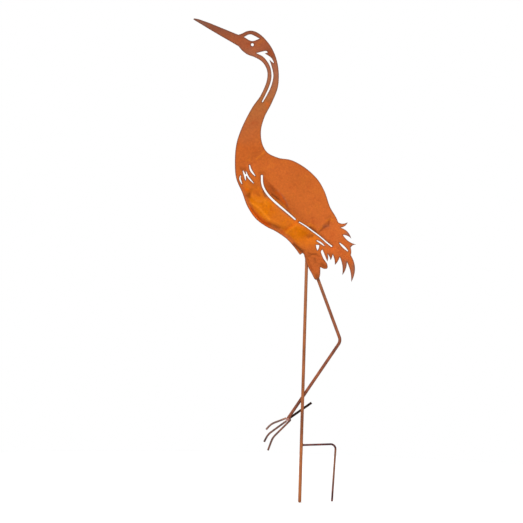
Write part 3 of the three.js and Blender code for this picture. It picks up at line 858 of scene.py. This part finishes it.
def rusted_pressed_sheet():
    """Cold-rolled steel sheet with an even orange rust film: browner and pinker towards the head,
    brighter orange on the beaten belly, partly its own rust and partly painted light where it faces the
    lamp, painted shade under the wing's edge and in the sunk folds, painted highlights on the raised
    folds and in streaks, brown along the cut edges, with fine mottling all over."""
    material, tree = blank_material("rusted_pressed_sheet")
    height = height_over_ground(tree)
    mottle = grain(tree, 11, detail=4)
    low, high = SHADED_HEIGHTS
    level = add(tree, "MapRange", {"Value": height, "From Min": low, "From Max": high})
    drift = add(tree, "MapRange", {
        "Value": grain(tree, 48), "From Min": 0.2, "From Max": 0.8, "To Min": -0.04, "To Max": 0.04})
    sockets = {0: level.outputs["Result"], 1: drift.outputs["Result"]}
    level = add(tree, "Math", sockets, operation="ADD").outputs[0]
    colour = add(tree, "ValToRGB", {"Fac": level}, stops=(
        (0.0, "#c4622c"), (0.16, "#cc662b"), (0.3, "#d06a2b"), (0.43, "#c86427"), (0.5, "#cb6527"),
        (0.58, "#be6634"), (0.68, "#b66c3a"), (0.79, "#ad6b4e"), (0.9, "#aa5b39"),
    )).outputs["Color"]
    colour = stained(tree, colour, "#93543c", height, *BEAK_HEIGHTS)
    # Brighter orange on the belly: partly its own rust, partly painted light where the belly faces the
    # lamp
    belly_orange_and_painted_light = thinned_tone(tree, "belly_orange_and_painted_light", grain(tree, 17), 0.36, 0.6, 0.55)
    colour = stained(tree, colour, "#da7204", belly_orange_and_painted_light)
    # Painted shade under the wing and in the folds, painted highlights on the folds and in streaks, grey
    # rust with painted shadow, red rust, and heat marks with painted shade
    tints = {"painted_shade_under_wing": "#ac4a18", "painted_highlight_on_folds": "#e8832a", "painted_shade_in_folds": "#9a4112", "painted_highlight_streaks": "#f48a18",
             "grey_rust_and_painted_shadow": "#8c6658", "reddened": "#e65c00", "scorch_and_painted_shade": "#5c2c10"}
    for name, tint in tints.items():
        tone = add(tree, "Attribute", attribute_name=name).outputs["Fac"]
        colour = stained(tree, colour, tint, tone)
    # Freckles of redder rust, and paler spots between them
    colour = stained(tree, colour, "#b2461a", mottle, 0.56, 0.7, 0.3)
    colour = stained(tree, colour, "#d97a28", mottle, 0.44, 0.3, 0.2)
    edge = thinned_tone(tree, "edge", mottle, 0.3, 0.7, 0.65)
    colour = stained(tree, colour, "#6e4636", edge)
    specks = add(tree, "MapRange", {
        "Value": grain(tree, SHEET_GRIT[0], roughness=0.6), "From Min": 0.25, "From Max": 0.75,
        "To Min": 0.86, "To Max": 1.12})
    sockets = {0: 1.0, 6: colour, 7: specks.outputs["Result"]}
    colour = add(tree, "Mix", sockets, data_type="RGBA", blend_type="MULTIPLY").outputs[2]
    rust_finish(tree, colour, SHEET_GRIT, 0.05, (0.62, 0.86))
    return material


def rusted_bar(name, colours, warmth, darkened, strength):
    """Round bar with lengthways streaks from the rolling, orange dust and dark spots of old scale."""
    material, tree = blank_material(name)
    streaks = grain(tree, 5, detail=4, stretch=(1, 1, 0.18))
    mottle = grain(tree, 9, detail=4)
    height = height_over_ground(tree)
    colour = add(tree, "ValToRGB", {"Fac": streaks}, stops=zip(BAR_LEVELS, colours)).outputs["Color"]
    # Spots of old scale, and orange dust between them
    colour = stained(tree, colour, "#5a3222", mottle, 0.55, 0.72, 0.5)
    colour = stained(tree, colour, "#b4683a", mottle, 0.42, 0.28, 0.4)
    colour = stained(tree, colour, "#b87248", height, *WARM_HEIGHTS, warmth)
    colour = stained(tree, colour, "#c87a3c", height, *EARTH_HEIGHTS, 0.2)
    colour = stained_stretch(tree, colour, "#3c1a12", darkened, strength)
    rust_finish(tree, colour, BAR_GRIT, 0.2, (0.5, 0.75))
    return material


def rusted_round_bar():
    """The upright stake: hot-rolled bar, warm light brown with rust, muddied just above the ground."""
    colours = ("#70402a", "#8e5230", "#a45f36", "#b26c3c")
    return rusted_bar("rusted_round_bar", colours, 0.6, MUDDY_FOOT, 0.17)


def rusted_bent_bar():
    """The bent leg: the same bar, redder, and darker beside the weld to the stake: heat tint, and a
    painted shadow of the stake.
    """
    colours = ("#623625", "#7e4530", "#935338", "#a46240")
    return rusted_bar("rusted_bent_bar", colours, 0.4, SHIN_BURN_AND_PAINTED_SHADOW, 0.42)


def scaled_wire(name, colours, tine_rust=0.0):
    """Drawn wire with thin scale, rust coming through it in spots, and more of it on a tine."""
    material, tree = blank_material(name)
    colour = mottled(tree, 7, WIRE_LEVELS, colours)
    colour = stained_stretch(tree, colour, "#a4704e", RUSTY_TINE, tine_rust)
    rust_finish(tree, colour, WIRE_GRIT, 0.16, (0.45, 0.7))
    return material


def scaled_toe_wire():
    """The front toes: grey brown scale with a faint pink cast."""
    return scaled_wire("scaled_toe_wire", ("#48332f", "#5f443c", "#754f42", "#895842"))


def scaled_upper_toe_wire():
    """The upper front toe: the same wire, paler."""
    return scaled_wire("scaled_upper_toe_wire", ("#5c4640", "#76584e", "#8c6656", "#9e7058"))


def scaled_step_wire():
    """The step fork: trodden and muddied, dark purplish brown, with lighter rust on its tine."""
    return scaled_wire("scaled_step_wire", ("#34191a", "#482425", "#5c302c", "#723e35"), 0.45)


def black_scaled_wire():
    """The hind toe's wire: black brown, with a few lighter specks."""
    material, tree = blank_material("black_scaled_wire")
    colour = mottled(tree, 6, BLACK_LEVELS, ("#20110c", "#321c14", "#543222"))
    rust_finish(tree, colour, WIRE_GRIT, 0.04, (0.4, 0.65))
    return material


def weld_metal(name, colours):
    """Weld beads with soot in their valleys."""
    material, tree = blank_material(name)
    colour = mottled(tree, 4, WELD_LEVELS, colours)
    rust_finish(tree, colour, WELD_GRIT, 0.25, (0.4, 0.65))
    return material


def rusted_weld():
    """Old beads on the bird and the stake, rusted darker than the steel they join."""
    return weld_metal("rusted_weld", ("#452a20", "#744228", "#985834"))


def painted_highlight_weld():
    """The dab at the foot, pale pinkish grey: a painted highlight on the foot joint."""
    return weld_metal("painted_highlight_weld", ("#6a463c", "#a8786c", "#c89488"))


def white_floor():
    """Matt white painted board, very slightly uneven."""
    material, tree = blank_material("white_floor")
    shade = add(tree, "ValToRGB", {"Fac": grain(tree, 600)}, stops=((0.0, "#f4f4f4"), (1.0, "#fafafa")))
    surface = add(tree, "BsdfDiffuse", {"Color": shade.outputs["Color"]})
    add(tree, "OutputMaterial", {"Surface": surface.outputs[0]})
    return material


# Pieces
def set_tones(piece, rings):
    """Stores on the sheet where its belly is a brighter orange, partly painted light, the painted shade
    under the wing, painted highlight and shade along the folds, its marks, some of them painted shade,
    shadow and highlight, and where it is close to a cut edge.
    """
    mesh = piece.data
    points = points_of(mesh.vertices)
    cut = np.vstack([evenly(np.vstack([ring, ring[:1]]), OUTLINE_STEP / 4) for ring in rings])
    tree = kdtree.KDTree(len(cut))
    for k, (x, z) in enumerate(cut):
        tree.insert((x, z, 0), k)
    tree.balance()
    to_edge = np.array([tree.find((x, z, 0))[2] for x, z in points])
    inside = offset_from(points, PRESS_LINE)
    below_wing = -offset_from(points, WING_LINE)
    low, low_full, high_full, high = GLOW_HEIGHTS
    # The belly's brighter orange: partly its own rust, partly painted light where it faces the lamp
    belly_orange_and_painted_light = ease(inside, *GLOW_INSIDE) * ease(below_wing, *GLOW_BELOW_WING)
    belly_orange_and_painted_light *= 1 - GLOW_LOST_AT_WING * (1 - ease(below_wing, *GLOW_FULL_BELOW_WING))
    belly_orange_and_painted_light *= ease(points[:, 1], low, low_full) * (1 - ease(points[:, 1], high_full, high))
    belly_orange_and_painted_light *= 1 - ease(points[:, 0], *GLOW_ENDS_AT)
    # Painted shade on the wing's flank above the upper slot, which faces down
    strip = ease(offset_from(points, VALLEY_LINES[0]), *UNDER_WING_ABOVE_SLOT)
    strip *= 1 - ease(offset_from(points, smooth_line(UNDER_WING, RELIEF_STEP)), *UNDER_WING_EDGE)
    # Fold heights give a painted highlight on raised folds and painted shade in sunk ones
    folds = fine_relief(points) * ease(inside, *FOLDS_INSIDE)
    tones = {
        "edge": 1 - ease(to_edge, 0, EDGE_TINT_WIDTH),
        "belly_orange_and_painted_light": belly_orange_and_painted_light,
        "painted_shade_under_wing": UNDER_WING_SHARE * strip,
        "painted_highlight_on_folds": RIDGE_SHARE * ease(folds, *TONED_FOLDS),
        "painted_shade_in_folds": HOLLOW_SHARE * ease(-folds, *TONED_FOLDS),
    }
    for name, marks in MARKS.items():
        shares = [strength * falling_off(points, line, half) for line, half, strength in marks]
        tones[name] = np.max(shares, axis=0)
    on_back = np.array([v.normal.y > 0 for v in mesh.vertices])
    for name, values in tones.items():
        if name != "edge":
            values = np.where(on_back, BACK_SHARE * values, values)
        mesh.attributes.new(name, "FLOAT", "POINT").data.foreach_set("value", values.astype(np.float32))


def sheet_back_at(x, z):
    return SHEET_BACK - relief(np.array([[x, z]], float))[0]


def welds():
    """Welds where the bars meet the sheet and each other, each a bmesh of beads and lumps."""
    made = {name: bmesh.new() for name in WELDS}
    for x, *heights in BACK_ROWS:
        start, end = ((x, sheet_back_at(x, z) + BACK_ROW_RISE, z) for z in heights)
        weld_bead(made["back_weld"], start, end, BACK_ROW_WIDTH)
    for name, bm in made.items():
        for bead in WELDS[name].get("beads", ()):
            weld_bead(bm, *bead)
        for lump in WELDS[name].get("lumps", ()):
            weld_lump(bm, *lump)
        bmesh.ops.recalc_face_normals(bm, faces=bm.faces[:])
    return made


def build_pieces():
    wire = scaled_toe_wire()
    old_weld, pale_weld = rusted_weld(), painted_highlight_weld()
    made = {}
    bm, rings = pressed_heron()
    heron = finished("pressed_heron", bm, rusted_pressed_sheet())
    set_tones(heron, rings)
    made["heron_sheet"] = (heron, "rusted_sheet")
    finishes = {
        "main_stake": (rusted_round_bar(), "rusted_rod"),
        "raised_leg": (rusted_bent_bar(), "rusted_rod"),
        "step_fork": (scaled_step_wire(), "dark_wire"),
        "toe_front_upper": (scaled_upper_toe_wire(), "dark_wire"),
        "toe_hind": (black_scaled_wire(), "black_wire"),
    }
    for node, (_, _, diameter) in ROUTES.items():
        material, slot = finishes.get(node, (wire, "dark_wire"))
        sides = ROD_SIDES if diameter == LEG_ROD else WIRE_SIDES
        made[node] = (finished(node + "_bar", bent_bar(node, sides), material), slot)
    for node, (piece, slot) in made.items():
        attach(piece, "root")
        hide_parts(node)
    for name, weld in welds().items():
        # The foot's dab is pale for a painted highlight
        piece = finished(name, weld, pale_weld if name == "foot_weld" else old_weld)
        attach(piece, "root")


# Floor, light and camera
def build_floor():
    bm = bmesh.new()
    bmesh.ops.create_circle(
        bm, cap_ends=True, segments=FLOOR_SIDES, radius=FLOOR_RADIUS * MM,
        matrix=Matrix.Translation((0, 0, FLOOR_LEVEL * MM)))
    mesh = bpy.data.meshes.new("floor")
    bm.to_mesh(mesh)
    bm.free()
    mesh.materials.append(white_floor())
    floor = bpy.data.objects.new("floor", mesh)
    bpy.context.scene.collection.objects.link(floor)


def soft_light(name, azimuth, elevation, strength, width):
    """Even light from a broad direction, azimuth counted from the viewer's side towards the right."""
    light = bpy.data.lights.new(name, "SUN")
    light.energy = strength
    light.angle = math.radians(width)
    lamp = bpy.data.objects.new(name, light)
    bpy.context.scene.collection.objects.link(lamp)
    turn = Matrix.Rotation(math.radians(azimuth), 4, "Z")
    lamp.matrix_world = turn @ Matrix.Rotation(math.radians(90 - elevation), 4, "X")


def build_light():
    """A white studio: soft light from all round, a broad softbox above the front left and a
    weaker one behind."""
    world = bpy.data.worlds.new("white_studio")
    bpy.context.scene.world = world
    world.use_nodes = True
    tree = world.node_tree
    tree.nodes.clear()
    seen = add(tree, "Background", {"Color": srgb("#ffffff"), "Strength": 1.0})
    lit = add(tree, "Background", {"Color": srgb("#ffffff"), "Strength": ROOM_LIGHT})
    camera_ray = add(tree, "LightPath").outputs["Is Camera Ray"]
    both = add(tree, "MixShader", {0: camera_ray, 1: lit.outputs[0], 2: seen.outputs[0]})
    add(tree, "OutputWorld", {"Surface": both.outputs[0]})
    soft_light("top_softbox", *TOP_SOFTBOX)
    soft_light("back_softbox", *BACK_SOFTBOX)
    bpy.context.scene.view_settings.view_transform = "Standard"


def build_camera():
    """Level with the middle of the picture, straight in front, held with a slight turn to the left."""
    lens = bpy.data.cameras.new("camera")
    lens.sensor_fit = "HORIZONTAL"
    lens.sensor_width = SENSOR
    lens.lens = SENSOR * CAMERA_DISTANCE / FRAME_HEIGHT
    lens.clip_end = VIEW_DEPTH * MM
    camera = bpy.data.objects.new("camera", lens)
    bpy.context.scene.collection.objects.link(camera)
    x, z = FRAME_CENTRE
    camera.matrix_world = (
        Matrix.Translation(Vector((x, -CAMERA_DISTANCE, z)) * MM)
        @ Matrix.Rotation(math.radians(90), 4, "X") @ Matrix.Rotation(CAMERA_ROLL, 4, "Z"))
    bpy.context.scene.camera = camera


build_camera()
build_light()
build_floor()
build_pieces()
bpy.context.view_layer.update()
